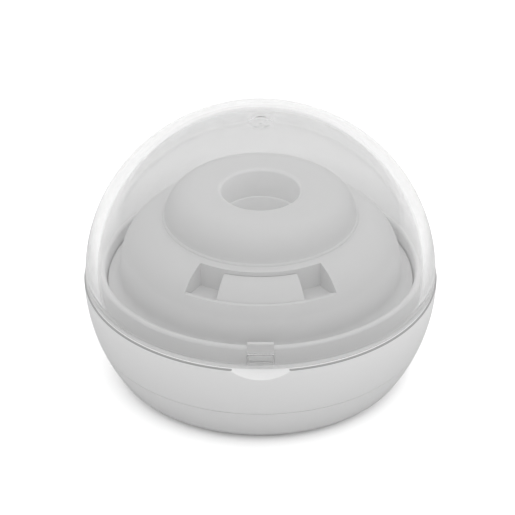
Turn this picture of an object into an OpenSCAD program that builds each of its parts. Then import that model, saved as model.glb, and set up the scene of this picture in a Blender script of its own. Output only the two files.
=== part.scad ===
// Pacifier sterilizer case: a round case with a thick clear dome lid on a white base bowl.
// The pacifier hangs teat-down in a deep glossy cup under the crown, over a UV lamp.
// Millimetres, +Z up, the front with the latch and the thumb scoop towards -Y.
// The origin is the middle of the whole case's footprint, on the table.

/* [Ball] */
// Outer radius of the base bowl at its widest
ball_r = 55; // [54.5:0.5:60]
// Height of the ball's centre over the table
ball_z = 34; // [33.5:0.5:37]
// Height of the rim that the lid closes on
rim_z = 32.4; // [31.8:0.2:33.2]
// Radius of the rounded edge round the flat bottom
bottom_edge_r = 6.6; // [5:0.2:8]
// Wall of the base bowl
bowl_wall = 2.4; // [2:0.1:2.8]
// Height of the lower seam, where the bottom cover meets the base shell
cover_seam_z = 14.2; // [12:0.2:16]
// Width of the lower seam's gap
cover_seam_gap = 0.1; // [0.1:0.05:0.3]
// Width of the base shell's rim outside the deck's flange
rim_w = 3; // [2.6:0.1:3.4]

/* [Lid] */
// Wall of the clear dome
lid_wall = 3.8; // [3:0.1:4.2]
// How far the lid's outside stands in from the base rim
lid_inset = 0.4; // [0.2:0.1:0.8]
// Gap between the lid's edge and the rim
lid_gap = 0.3; // [0.2:0.05:0.5]
// How much lower the dome's top is than a full ball
lid_drop = 1.2; // [0.8:0.1:2]
// Angle over the horizon where the dome's side arc meets its top arc
lid_arc_deg = 50; // [40:1:60]
// Radius of the moulding gate's dimple in the dome's top
gate_r = 4; // [3:0.1:5]
// Depth of the moulding gate's dimple
gate_depth = 0.4; // [0.3:0.1:1]

/* [Hinge] */
// How far the hinge pin stands behind the ball
hinge_out = 1; // [1:0.1:2]
// Radius of the hinge knuckles
knuckle_r = 2.6; // [2.4:0.1:3]
// Radius of the hinge pin
hinge_pin_r = 1; // [0.8:0.05:1.2]
// Radial running clearance of the pin in the lid's knuckle
hinge_fit = 0.05; // [0.03:0.01:0.08]
// Half the width of the lid's knuckle
lid_knuckle_half = 8.8; // [7:0.2:10]
// Width of one hinge ear of the base
ear_w = 3.4; // [2.6:0.2:4]
// Side clearance between the lid's knuckle and an ear
ear_gap = 0.2; // [0.15:0.05:0.4]

/* [Latch and scoop] */
// Width of the latch pocket in the lid
pocket_w = 7.8; // [6:0.2:9]
// Height of the latch pocket
pocket_h = 3.6; // [3:0.2:4.6]
// Depth of the latch pocket in the lid's wall
pocket_depth = 1.5; // [1:0.1:2]
// Height of the latch pocket over the rim
pocket_lift = 0.8; // [0.6:0.1:1.3]
// Thickness of the lid catch
catch_t = 1.2; // [1:0.1:1.4]
// How far the catch's nose stands out of the collar
catch_nose = 0.4; // [0.2:0.05:0.5]
// How far the catch's top stands over the collar
catch_over = 1.2; // [0.5:0.1:1.6]
// Clearance round the catch in the collar's slot
catch_fit = 0.2; // [0.15:0.05:0.3]
// Width of the thumb scoop along the rim
scoop_w = 20.4; // [16:0.2:24]
// Height of the thumb scoop under the rim
scoop_h = 3.7; // [3:0.1:5]
// Depth of the thumb scoop at the rim
scoop_depth = 2.6; // [2:0.1:2.8]

/* [Deck] */
// Gap between the collar and the lid's inside
collar_gap = 0.9; // [0.8:0.1:1.3]
// Wall of the collar
collar_wall = 1.8; // [1.6:0.1:2.2]
// Height of the collar's top over the rim
collar_h = 5.9; // [5.4:0.1:6.6]
// Thickness of the deck's flange and of the ledge that carries it
flange_t = 2; // [1.6:0.1:2.2]
// Height of the trough floor under the rim
trough_drop = 3.9; // [3.4:0.1:4.6]
// Thickness of the trough floor
trough_t = 2; // [1.6:0.1:2.4]
// Width of the deck's inner rim, which carries the main board
deck_ring_w = 3.6; // [3.2:0.1:4.2]

/* [Pedestal] */
// Width of the trough between the collar and the pedestal
trough_w = 4.6; // [4.1:0.1:5.2]
// Height of the pedestal over the trough floor
pedestal_h = 25.5; // [24.5:0.1:27]
// Radius of the pedestal's rounded shoulder
shoulder_r = 16; // [15:0.1:17]
// Wall of the pedestal
pedestal_wall = 2; // [1.6:0.1:2.4]
// Depth of the pedestal's flared foot under the collar's top
flare_drop = 4.4; // [3.8:0.1:5]
// Radius of the hollow between the pedestal's side and its flared foot
flare_round_r = 2.5; // [2:0.1:3]
// Gap between the flared foot and the collar
flare_gap = 0.5; // [0.4:0.05:0.6]

/* [Start button] */
// Depth of the button recess's floor under the pedestal's top
recess_drop = 8.6; // [8.2:0.1:9]
// Depth of the recess's front lip under the pedestal's top
lip_drop = 7.1; // [6.7:0.1:7.5]
// Thickness of the recess's front lip
lip_t = 1; // [0.8:0.1:1.2]
// Width of the shelf between the crown and the recess's back wall
recess_shelf = 2.7; // [2.3:0.1:3.1]
// Half the recess's width as an angle
recess_half_deg = 34; // [30:1:38]
// Half the button's width as an angle
button_half_deg = 19.6; // [16:0.2:22]
// Travel of the button
button_travel = 1; // [0.6:0.1:1.2]
// Gap left under the pressed button and round it
button_gap = 0.25; // [0.2:0.05:0.3]
// Radius of the button's stem
stem_r = 1.5; // [1.2:0.1:1.8]
// Clearance of the stem in the recess floor
stem_fit = 0.1; // [0.06:0.01:0.15]
// Distance of the stem from the recess's back wall
stem_in = 3.1; // [3:0.1:3.6]
// Mean radius of a button spring
key_spring_r = 1.5; // [1.3:0.05:1.6]
// Wire of a button spring
key_spring_wire = 0.35; // [0.25:0.05:0.4]
// Height of a button spring in place
key_spring_h = 2.4; // [2.2:0.05:2.5]

/* [Crown and cup] */
// Width of the step from the pedestal's outside to the crown's outside
step_w = 14.1; // [13.5:0.1:14.8]
// Height of the crown over the pedestal
crown_h = 9.3; // [9:0.1:10.4]
// Radius of the crown's rounded outside edge
crown_edge_r = 9; // [8:0.1:9]
// Wall of the crown
crown_wall = 2; // [1.6:0.1:2.4]
// Radius of the bead round the crown's foot
bead_r = 0.8; // [0.5:0.05:1.1]
// Radius of the crown's throat
throat_r = 12.1; // [11.6:0.1:13]
// Radius of the throat's rolled edge
throat_lip_r = 1; // [0.8:0.1:1.8]
// Depth of the throat, down to the cup's rim
throat_depth = 9.6; // [9.4:0.1:10.2]
// How far the cup's rim stands in from the throat
cup_step = 0.3; // [0.1:0.05:0.6]
// Inner radius of the cup at its floor
cup_floor_r = 8.6; // [8:0.1:9.4]
// Height of the lamp window over the main board
window_lift = 2.5; // [2.2:0.1:3]
// Wall of the cup
cup_wall = 1.4; // [1.2:0.1:1.6]
// Radius of the round between the cup's wall and floor
cup_round_r = 3; // [2:0.1:4]
// Width of the cup's flange outside the throat
cup_flange_w = 3.8; // [3:0.1:4.4]
// Thickness of the cup's flange
cup_flange_t = 1.6; // [1.2:0.1:2]
// Wall of the crown's spigot
spigot_wall = 1.7; // [1.4:0.1:2]
// Depth of the spigot in the pedestal's opening
spigot_h = 3; // [2.4:0.1:4]
// Radius of the lamp window
window_r = 4.4; // [4:0.1:4.8]
// Thickness of the lamp window
window_t = 1; // [0.7:0.1:1.1]
// Radius of the indicator's tip in the crown
indicator_r = 0.55; // [0.4:0.05:0.8]
// Bearing of the indicator from +X, towards the front left
indicator_deg = 223.6; // [218:0.2:230]

/* [Boards] */
// Gap between the main board and the pedestal's screw bosses
board_gap = 2.2; // [1.8:0.1:2.6]
// Thickness of the circuit boards
board_t = 1.6; // [1.2:0.1:1.8]
// Height of the main board over the trough floor
board_lift = 0.5; // [0.3:0.1:0.8]
// Side of the UV lamp's package
lamp_w = 3.6; // [3:0.1:4.4]
// Width of the button's small board
key_board_w = 18; // [17:0.5:19]
// Depth of the button's small board, front to back
key_board_d = 6; // [5.4:0.2:6.2]
// Height of the posts that carry the small board
key_post_h = 4.9; // [4.6:0.1:5.5]
// Height of the button's switch
key_switch_h = 3; // [2.5:0.1:3.2]

/* [Batteries] */
// Radius of one cell
cell_r = 5.25; // [5:0.05:5.3]
// Length of one cell with its nub
cell_len = 44.5; // [43:0.5:45]
// Distance from cell to cell
cell_pitch = 10.9; // [10.8:0.1:11.2]
// Length of a contact spring in place
spring_len = 5; // [4:0.1:5.4]
// Thickness of a contact plate
plate_t = 0.4; // [0.3:0.1:0.5]
// Wall of the battery bay
bay_wall = 1.6; // [1.4:0.1:1.8]
// Thickness of the battery door
door_t = 1.8; // [1.4:0.1:1.9]
// Gap round the battery door
door_gap = 0.2; // [0.15:0.05:0.3]

/* [Feet and screws] */
// How far the feet stand out of the flat bottom
foot_stand = 0.6; // [0.4:0.1:1]
// Radius of one foot
foot_r = 4; // [3:0.1:4.4]
// Depth that a foot is let into the bottom
foot_inlay = 1; // [0.6:0.1:1.4]
// Distance of the feet in from the edge of the flat bottom
foot_in = 5.8; // [5:0.1:6.6]
// Distance of the housing screws in from the edge of the flat bottom
housing_screw_in = 3.5; // [3.2:0.1:4]
// Distance of the pedestal's screws in from its outside
pedestal_screw_in = 4.6; // [4.3:0.1:4.9]
// Radius of a screw's shank
screw_r = 1.2; // [1:0.05:1.3]
// Radius of a screw's head
screw_head_r = 2.2; // [1.9:0.1:2.4]
// Height of a screw's head
screw_head_h = 1.6; // [1.2:0.1:2]
// Radius of the screw bosses
boss_r = 2.9; // [2.8:0.1:3.1]

/* [Hidden] */
$fn = 96;

far = 200;
eps = 0.01;
fit = 0.1;
white = [0.86, 0.86, 0.86];

bottom_z = foot_stand;
bottom_rel = bottom_z - ball_z;
edge_c_z = bottom_rel + bottom_edge_r;
edge_c_r = sqrt(pow(ball_r - bottom_edge_r, 2) - pow(edge_c_z, 2));
edge_deg = atan2(edge_c_z, edge_c_r);

lid_r = ball_r - lid_inset;
lid_in_r = lid_r - lid_wall;
lid_foot_z = rim_z + lid_gap;
arc_shift = lid_drop / (1 - 1 / cos(lid_arc_deg) + tan(lid_arc_deg));
arc_drop = arc_shift * tan(lid_arc_deg);
arc_side_r = lid_r - arc_shift;
arc_top_r = arc_side_r + arc_shift / cos(lid_arc_deg);
lid_top_z = ball_z + arc_top_r - arc_drop;

hinge_back = ball_r + hinge_out;
hinge_z = rim_z + 0.1;
hinge_clear = 0.3;
lug_root = 2.1;
relief_r = knuckle_r + hinge_clear;
ear_in = lid_knuckle_half + ear_gap;
ear_out = ear_in + ear_w;
footprint_shift = (hinge_back + knuckle_r - ball_r) / 2;

collar_r = lid_in_r - collar_gap;
collar_in_r = collar_r - collar_wall;
collar_top_z = rim_z + collar_h;
flange_z = rim_z - flange_t;
flange_r = ball_r - rim_w - catch_fit;
trough_z = rim_z - trough_drop;
tray_under_z = trough_z - trough_t;

pocket_z = rim_z + pocket_lift;
slot_z = pocket_z - catch_fit;

scoop_sag_r = (pow(scoop_w / 2, 2) + pow(scoop_h, 2)) / (2 * scoop_h);
scoop_c_z = rim_z - scoop_h + scoop_sag_r;
scoop_reach = (pow(scoop_sag_r, 2) - pow(scoop_sag_r - scoop_h, 2)) / 2;
scoop_r = 1 / (scoop_depth / scoop_reach - 1 / ball_r);
scoop_deep = pow(scoop_sag_r, 2) / 2 * scoop_depth / scoop_reach;
scoop_deg = asin((scoop_c_z - ball_z) / ball_r);

pedestal_r = collar_in_r - trough_w;
pedestal_top_z = trough_z + pedestal_h;
pedestal_in_r = pedestal_r - pedestal_wall;
spigot_in = 3;
flare_r = collar_in_r - flare_gap;
flare_z = collar_top_z - flare_drop;
crown_r = pedestal_r - step_w;
land_r = crown_r + bead_r;
recess_back_r = crown_r + recess_shelf;
recess_z = pedestal_top_z - recess_drop;
recess_floor_z = recess_z - pedestal_wall;
lip_z = pedestal_top_z - lip_drop;
recess_side_deg = 3;
button_under_z = recess_z + button_travel + button_gap;
button_back_r = recess_back_r + button_gap;
button_inset = lip_t + button_gap;
stem_at = recess_back_r + stem_in;
key_at = stem_at - 0.2;
key_spring_at = stem_at - 0.5;
key_spring_deg = 13;
key_spring_turns = 2.6;
key_pocket_r = key_spring_r + key_spring_wire / 2 + 0.2;

crown_top_z = pedestal_top_z + crown_h;
spigot_r = crown_r - spigot_in;
spigot_in_r = spigot_r - spigot_wall;
lip_c_r = throat_r + throat_lip_r;
lip_c_z = crown_top_z - throat_lip_r;
cup_rim_z = crown_top_z - throat_depth;
cup_rim_r = throat_r - cup_step;
cup_flange_r = throat_r + cup_flange_w;

pedestal_screw_at = pedestal_r - pedestal_screw_in;
pedestal_boss_h = 11;
pedestal_screw_bite = 7.5;
screw_tip_gap = 1.5;
board_r = pedestal_screw_at - boss_r - board_gap;
board_z = trough_z + board_lift;
board_top_z = board_z + board_t;
deck_hole_r = board_r - deck_ring_w - 0.2;
board_screw_at = deck_hole_r + deck_ring_w / 2;
locator_w = 1.2;
locator_h = 2;

cup_under_z = board_top_z + window_lift;
cup_floor_z = cup_under_z + cup_wall;
skirt_r = window_r + 1.6;
window_lip = 1;
lamp_h = 1.2;
indicator_at = (cup_flange_r + spigot_in_r) / 2;
pipe_r = 1.1;
pipe_out_r = max(0, indicator_at + pipe_r - crown_r + crown_edge_r);
pipe_neck_z = crown_top_z - crown_edge_r + sqrt(pow(crown_edge_r - crown_wall, 2) - pow(pipe_out_r, 2)) - 0.1;
pipe_lift = 1;
status_led_w = 2.4;
status_led_d = 1.6;
status_led_h = 0.8;

key_board_z = recess_floor_z - key_post_h - board_t;
key_top_z = key_board_z + board_t;
key_screw_x = 6.6;
key_screw_r = 0.8;
key_post_r = 1.8;
key_screw_bite = 3.6;
key_screw_tip_gap = 0.4;
key_switch_w = 6;
key_cap_r = 1.7;
stem_z = key_top_z + key_switch_h + button_travel + 0.05;

bay_half_l = (cell_len + spring_len + 2 * plate_t + 0.3) / 2;
bay_half_w = cell_pitch + cell_r + 0.5;
bay_z = bottom_z + door_t;
cell_z = bay_z + 0.35 + cell_r;
bay_roof_z = cell_z + cell_r + 0.3;
door_ear_l = 7;
door_ear_w = 10;
door_screw_x = bay_half_l + bay_wall + 3.4;
door_screw_r = 1;
door_grip_x = 8;
door_grip_w = 1;
door_grip_pitch = 2.2;
door_grip_half = 8;
door_grip_depth = 0.4;
door_tab_w = 6;
door_tab_y = 9;
door_tab_l = 1.2;
door_tab_t = 0.8;

// Parts on the main board: [x, y, height] of each block's middle with its sides, and of each can
chip_at = [16, -2];
chip_w = 8;
chip_h = 1.4;
connector_at = [-18.5, 7];
connector_w = 7;
connector_d = 6;
connector_h = 3;
socket_at = [0, 23.5];
socket_w = 8;
socket_d = 5;
socket_h = 4.5;
coil_at = [14, 14];
coil_r = 4.5;
coil_h = 5;
can_at = [[-14, 17], [-20, -2]];
can_r = 2.5;
can_h = 6;

spring_wire = 0.6;
spring_wide_r = 3.6;
spring_narrow_r = 2.2;
nub_r = 1.9;
nub_h = 1;
plate_half = 4.4;
lead_r = 0.6;
lead_x = 6;
lead_y = bay_half_w - 3;

foot_at = edge_c_r - foot_in;
housing_screw_at = edge_c_r - housing_screw_in;
screw_well = 5;
foot_deg = [60, 120, 240, 300];
housing_deg = [45, 135, 225, 315];
pedestal_deg = [90, 210, 330];
board_deg = [30, 150, 270];
sensor_deg = 70;
sensor_shelf_z = 22;
sensor_shelf_t = 2;
sensor_shelf_half = 4;
sensor_in = 10.5;
sensor_board_l = 5.5;
sensor_board_t = 1;
sensor_half = 3.4;
sensor_chip_half = 2;
sensor_chip_l = 2.5;
sensor_chip_in = 2;
sensor_chip_h = 1.5;
magnet_r = 1.3;
magnet_h = 2;
cover_lip_t = 1.2;
cover_lip_h = 2.6;
cover_lip_root = 3;
ear_drop = 8;

// Everything is drawn about the ball's axis, then moved so that the footprint's middle is the origin
module home() { translate([0, -footprint_shift, 0]) children(); }

module at(r, deg) { rotate([0, 0, deg]) translate([r, 0, 0]) children(); }

module disc(r, z0, z1) { translate([0, 0, z0]) cylinder(r = r, h = z1 - z0); }

module ring(r_in, r_out, z0, z1) {
    difference() {
        disc(r_out, z0, z1);
        disc(r_in, z0 - 1, z1 + 1);
    }
}

module block(x0, x1, y0, y1, z0, z1) { translate([x0, y0, z0]) cube([x1 - x0, y1 - y0, z1 - z0]); }

module rod_x(r, x0, x1) { translate([x0, 0, 0]) rotate([0, 90, 0]) cylinder(r = r, h = x1 - x0); }

// A wedge of a ring about the axis, centred on the front
module front_sector(half_deg, r_in, r_out, z0, z1) {
    rotate([0, 0, 270 - half_deg]) rotate_extrude(angle = 2 * half_deg)
        translate([r_in, z0]) square([r_out - r_in, z1 - z0]);
}

// Half outline of the base bowl, this far inside its surface, about the ball's centre
module bowl_2d(inset) {
    intersection() {
        circle(ball_r - inset);
        polygon([[0, 0], [far * cos(edge_deg), far * sin(edge_deg)], [far, far], [0, far]]);
    }
    translate([edge_c_r, edge_c_z]) circle(bottom_edge_r - inset);
    polygon([[0, 0], [edge_c_r, edge_c_z], [edge_c_r, bottom_rel + inset], [0, bottom_rel + inset]]);
}

// The bowl's wall between two heights over the table and between two insets
module bowl_wall_ring(inset_out, inset_in, z0, z1) {
    translate([0, 0, ball_z]) rotate_extrude() intersection() {
        difference() {
            bowl_2d(inset_out);
            bowl_2d(inset_in);
        }
        translate([0, z0 - ball_z]) square([far, z1 - z0]);
    }
}

// Half outline of the dome, this far inside its surface: a side arc that runs into a flatter top arc
module dome_2d(inset) {
    seam_x = far * cos(lid_arc_deg);
    seam_y = far * sin(lid_arc_deg) - arc_drop;
    intersection() {
        translate([arc_shift, 0]) circle(arc_side_r - inset);
        polygon([[0, -arc_drop], [seam_x, seam_y], [far, seam_y], [far, -far], [0, -far]]);
    }
    intersection() {
        translate([0, -arc_drop]) circle(arc_top_r - inset);
        polygon([[0, -arc_drop], [seam_x, seam_y], [0, seam_y]]);
    }
}

module lid_dome() color([0.9, 0.9, 0.92, 0.35]) home() {
    difference() {
        union() {
            translate([0, 0, ball_z]) rotate_extrude() intersection() {
                difference() {
                    dome_2d(0);
                    dome_2d(lid_wall);
                }
                translate([0, lid_foot_z - ball_z]) square([far, far]);
            }
            block(-lid_knuckle_half, lid_knuckle_half, lid_r - lug_root, hinge_back,
                lid_foot_z, hinge_z + knuckle_r);
            translate([0, hinge_back, hinge_z]) rod_x(knuckle_r, -lid_knuckle_half, lid_knuckle_half);
        }
        translate([0, hinge_back, hinge_z]) {
            rod_x(hinge_pin_r + hinge_fit, -lid_knuckle_half - 1, lid_knuckle_half + 1);
            for (side = [-1, 1])
                translate([side * (ear_in + ear_out) / 2, 0, 0])
                    rod_x(relief_r, -ear_w / 2 - ear_gap, ear_w / 2 + ear_gap);
        }
        block(-pocket_w / 2, pocket_w / 2, -lid_in_r - pocket_depth, -collar_in_r,
            pocket_z, pocket_z + pocket_h);
        difference() {
            disc(gate_r, lid_top_z - gate_depth, lid_top_z + 1);
            disc(gate_r * 0.6, lid_top_z - gate_depth - 1, lid_top_z - gate_depth / 2);
        }
        at(lid_r - lid_wall / 2, sensor_deg) disc(magnet_r, lid_foot_z - 1, lid_foot_z + magnet_h);
    }
}

module lid_magnet() color([0.35, 0.35, 0.37]) home()
    at(lid_r - lid_wall / 2, sensor_deg) disc(magnet_r, lid_foot_z, lid_foot_z + magnet_h);

module hinge_pin() color([0.75, 0.75, 0.77]) home()
    translate([0, hinge_back, hinge_z]) rod_x(hinge_pin_r, -ear_out, ear_out);

module base_shell() color(white) home() {
    ledge_z = flange_z - flange_t;
    ear_foot = [ball_r - bowl_wall, rim_z - ear_drop];
    difference() {
        union() {
            bowl_wall_ring(0, bowl_wall, cover_seam_z + cover_seam_gap / 2, rim_z);
            ring(collar_r + lid_gap, ball_r - bowl_wall, ledge_z, rim_z);
            for (side = [-1, 1]) {
                translate([side * (ear_in + ear_out) / 2 - ear_w / 2, 0, 0]) {
                    translate([0, hinge_back, hinge_z]) rod_x(knuckle_r, 0, ear_w);
                    rotate([90, 0, 90]) linear_extrude(ear_w)
                        polygon([ear_foot, [ball_r - 1, ear_foot[1]], [hinge_back + knuckle_r, hinge_z],
                            [ear_foot[0], hinge_z]]);
                }
            }
            intersection() {
                at(0, sensor_deg) block(ball_r - sensor_in - 0.5, ball_r,
                    -sensor_shelf_half, sensor_shelf_half, sensor_shelf_z - sensor_shelf_t, sensor_shelf_z);
                translate([0, 0, ball_z]) rotate_extrude() bowl_2d(bowl_wall / 2);
            }
        }
        disc(ball_r - rim_w, flange_z, rim_z + 1);
        translate([0, hinge_back, hinge_z]) {
            rod_x(hinge_pin_r, -ear_out - 1, ear_out + 1);
            rod_x(relief_r, -ear_in, ear_in);
        }
        translate([0, 0, ball_z]) rotate([scoop_deg * -1, 0, 0])
            translate([0, -(ball_r + scoop_r - scoop_deep), 0]) sphere(scoop_r);
    }
}

module bottom_cover() color(white) home() {
    top_z = cover_seam_z - cover_seam_gap / 2;
    lip_in = bowl_wall + fit + cover_lip_t;
    difference() {
        union() {
            bowl_wall_ring(0, bowl_wall, bottom_z, top_z);
            bowl_wall_ring(bowl_wall - 0.3, lip_in, top_z - cover_lip_root, top_z);
            bowl_wall_ring(bowl_wall + fit, lip_in, top_z - 1, top_z + cover_lip_h);
            block(-bay_half_l - bay_wall, bay_half_l + bay_wall,
                -bay_half_w - bay_wall, bay_half_w + bay_wall, bottom_z, bay_roof_z + bay_wall);
            for (deg = housing_deg) at(housing_screw_at, deg) disc(boss_r, bottom_z, top_z);
            translate([-door_screw_x, 0, 0]) disc(boss_r, bottom_z, bay_z + 7);
            for (deg = foot_deg) at(foot_at, deg)
                disc(foot_r + 1, bottom_z, bottom_z + bowl_wall + 0.6);
        }
        block(-bay_half_l, bay_half_l, -bay_half_w, bay_half_w, bottom_z - 1, bay_roof_z);
        block(-bay_half_l - bay_wall + 0.2, bay_half_l + bay_wall - 0.2, -bay_half_w - bay_wall + 0.2,
            bay_half_w + bay_wall - 0.2, bottom_z - 1, bay_z);
        block(-bay_half_l - door_ear_l - door_gap, 0, -door_ear_w / 2 - door_gap, door_ear_w / 2 + door_gap,
            bottom_z - 1, bay_z);
        for (side = [-1, 1])
            block(bay_half_l - 1, bay_half_l + bay_wall + door_tab_l + 0.4,
                side * door_tab_y - door_tab_w / 2 - door_gap, side * door_tab_y + door_tab_w / 2 + door_gap,
                bay_z - door_tab_t - 0.3, bay_z + 1.2);
        translate([-door_screw_x, 0, 0]) disc(door_screw_r + 0.35, bottom_z, bay_z + 5);
        for (deg = housing_deg) at(housing_screw_at, deg) {
            disc(screw_head_r + 0.3, bottom_z - 1, bottom_z + screw_well);
            disc(screw_r + 0.15, bottom_z, top_z + 1);
        }
        for (deg = foot_deg) at(foot_at, deg) disc(foot_r + 0.1, bottom_z - 1, bottom_z + foot_inlay);
        for (side = [-1, 1]) translate([side * lead_x, lead_y, 0])
            disc(lead_r + 0.2, bay_roof_z - 1, bay_roof_z + 3);
    }
}

module deck_tray() color(white) home() {
    difference() {
        union() {
            rotate_extrude() {
                translate([collar_in_r, tray_under_z])
                    square([collar_wall, collar_top_z - collar_wall / 2 - tray_under_z]);
                translate([collar_in_r + collar_wall / 2, collar_top_z - collar_wall / 2])
                    circle(collar_wall / 2);
                translate([collar_in_r, flange_z]) square([flange_r - collar_in_r, flange_t]);
                translate([deck_hole_r, tray_under_z]) square([collar_r - deck_hole_r, trough_t]);
                translate([deck_hole_r, trough_z - 1]) square([deck_ring_w, 1 + board_lift]);
                translate([pedestal_in_r - fit - locator_w, trough_z - 1]) square([locator_w, locator_h + 1]);
            }
            for (deg = housing_deg) at(housing_screw_at, deg) disc(boss_r, cover_seam_z + 0.2, trough_z);
        }
        for (deg = housing_deg) at(housing_screw_at, deg)
            disc(screw_r + 0.05, cover_seam_z, tray_under_z - 2);
        for (deg = pedestal_deg) at(pedestal_screw_at, deg) {
            disc(screw_r + 0.15, tray_under_z - 1, trough_z + 3);
            disc(boss_r + 0.2, trough_z, trough_z + 3);
        }
        for (deg = board_deg) at(board_screw_at, deg)
            disc(screw_r + 0.05, tray_under_z - 1, trough_z + 3);
        block(-pocket_w / 2 - catch_fit, pocket_w / 2 + catch_fit, -collar_r - 1, -collar_in_r + 1,
            slot_z, collar_top_z + 1);
        translate([0, 0, ball_z]) rotate([scoop_deg * -1, 0, 0])
            translate([0, -(ball_r + scoop_r - scoop_deep), 0]) sphere(scoop_r);
    }
}

module lid_catch() color(white) home() {
    intersection() {
        union() {
            block(-pocket_w / 2, pocket_w / 2, -collar_r, -collar_r + catch_t,
                pocket_z, collar_top_z + catch_over);
            block(-pocket_w / 2, pocket_w / 2, -collar_r - catch_nose, -collar_r + catch_t,
                pocket_z + 0.3, pocket_z + pocket_h - 0.6);
        }
        disc(collar_r + catch_nose, rim_z, collar_top_z + catch_over + 1);
    }
}

// Half outline of the pedestal without its land, this far inside its surface
module pedestal_2d(inset, foot_z) {
    c_r = pedestal_r - shoulder_r;
    c_z = pedestal_top_z - shoulder_r;
    translate([0, foot_z]) square([pedestal_r - inset, c_z - foot_z]);
    translate([0, foot_z]) square([c_r, pedestal_top_z - inset - foot_z]);
    intersection() {
        translate([c_r, c_z]) circle(shoulder_r - inset);
        translate([c_r, c_z]) square([far, far]);
    }
}

// Half outline of the pedestal's foot, hollow underneath, which flares out to fill the trough
module flare_2d() {
    hollow_r = pedestal_r + flare_round_r;
    difference() {
        translate([pedestal_r - 1, trough_z])
            square([flare_r - pedestal_r + 1, flare_z + flare_round_r - trough_z]);
        translate([hollow_r, flare_z + flare_round_r]) circle(flare_round_r);
        translate([hollow_r, flare_z]) square([far, far]);
        translate([pedestal_r, trough_z - 1])
            square([flare_r - pedestal_wall - pedestal_r, flare_z - pedestal_wall - trough_z + 1]);
    }
}

// The button's recess: open to the front over its lip, and one lip's thickness inside the surface below
module recess() {
    front_sector(recess_half_deg, recess_back_r, far, lip_z, far);
    intersection() {
        front_sector(recess_half_deg, recess_back_r, far, recess_z, lip_z + 1);
        rotate_extrude() pedestal_2d(lip_t, trough_z);
    }
}

module pedestal() color(white) home() {
    difference() {
        union() {
            rotate_extrude() flare_2d();
            rotate_extrude() pedestal_2d(0, trough_z);
            disc(land_r, trough_z, pedestal_top_z);
        }
        difference() {
            rotate_extrude() pedestal_2d(pedestal_wall, trough_z - 1);
            front_sector(recess_half_deg + recess_side_deg, recess_back_r - pedestal_wall, far,
                recess_floor_z, far);
            for (deg = pedestal_deg) at(pedestal_screw_at, deg)
                disc(boss_r, trough_z, trough_z + pedestal_boss_h);
            for (side = [-1, 1]) translate([side * key_screw_x, -key_at, 0])
                disc(key_post_r, key_top_z, recess_z);
        }
        recess();
        disc(spigot_r + fit, recess_z, pedestal_top_z + 1);
        for (deg = pedestal_deg) at(pedestal_screw_at, deg)
            disc(screw_r + 0.05, trough_z - 1, trough_z + pedestal_screw_bite + screw_tip_gap);
        for (side = [-1, 1]) translate([side * key_screw_x, -key_at, 0])
            disc(key_screw_r + 0.05, key_board_z, key_top_z + key_screw_bite + key_screw_tip_gap);
        translate([0, -stem_at, 0]) disc(stem_r + stem_fit, recess_floor_z - 1, recess_z + 1);
    }
}

module start_button() color([0.9, 0.9, 0.9]) home() {
    difference() {
        union() {
            intersection() {
                rotate_extrude() pedestal_2d(button_inset, trough_z);
                front_sector(button_half_deg, button_back_r, far, button_under_z, far);
            }
            translate([0, -stem_at, 0]) disc(stem_r, stem_z, button_under_z + 0.6);
        }
        for (side = [-1, 1]) at(key_spring_at, 270 + side * key_spring_deg)
            disc(key_pocket_r, button_under_z - 1, recess_z + key_spring_h + 0.1);
    }
}

// A coil spring standing on z = 0: one unbroken round wire of six sides, with a ring every 24 degrees
module coil(r0, r1, height, wire, turns) {
    steps = turns * 15;
    sides = 6;
    rings = [for (i = [0 : steps]) let (t = i / steps, a = 24 * i, r = r0 + (r1 - r0) * t,
        z = wire / 2 + (height - wire) * t)
        [for (k = [0 : sides - 1]) let (b = 60 * k, q = r + wire / 2 * cos(b))
            [q * cos(a), q * sin(a), z + wire / 2 * sin(b)]]];
    points = [for (one = rings) for (p = one) p];
    walls = [for (i = [0 : steps - 1]) for (k = [0 : sides - 1]) let (a = i * sides + k,
        b = i * sides + (k + 1) % sides) for (face = [[a, b + sides, b], [a, a + sides, b + sides]]) face];
    caps = [[for (k = [0 : sides - 1]) k], [for (k = [sides - 1 : -1 : 0]) steps * sides + k]];
    polyhedron(points, concat(walls, caps));
}

module button_springs() color([0.7, 0.7, 0.72]) home()
    for (side = [-1, 1]) at(key_spring_at, 270 + side * key_spring_deg) translate([0, 0, recess_z])
        coil(key_spring_r, key_spring_r, key_spring_h, key_spring_wire, key_spring_turns);

module button_switch() color([0.15, 0.15, 0.16]) home()
    translate([0, -key_at, key_top_z]) {
        block(-key_switch_w / 2, key_switch_w / 2, -key_switch_w / 2, key_switch_w / 2,
            0, key_switch_h - 0.6);
        disc(key_cap_r, 0, key_switch_h);
    }

module button_board() color([0.1, 0.35, 0.2]) home() difference() {
    block(-key_board_w / 2, key_board_w / 2, -key_at - key_board_d / 2, -key_at + key_board_d / 2,
        key_board_z, key_board_z + board_t);
    for (side = [-1, 1]) translate([side * key_screw_x, -key_at, 0])
        disc(key_screw_r + 0.15, key_board_z - 1, key_top_z + 1);
}

module button_board_screws() color([0.6, 0.6, 0.62]) home()
    for (side = [-1, 1]) translate([side * key_screw_x, -key_at, 0]) {
        disc(key_screw_r * 2, key_board_z - 1, key_board_z);
        disc(key_screw_r, key_board_z, key_top_z + key_screw_bite);
    }

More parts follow.
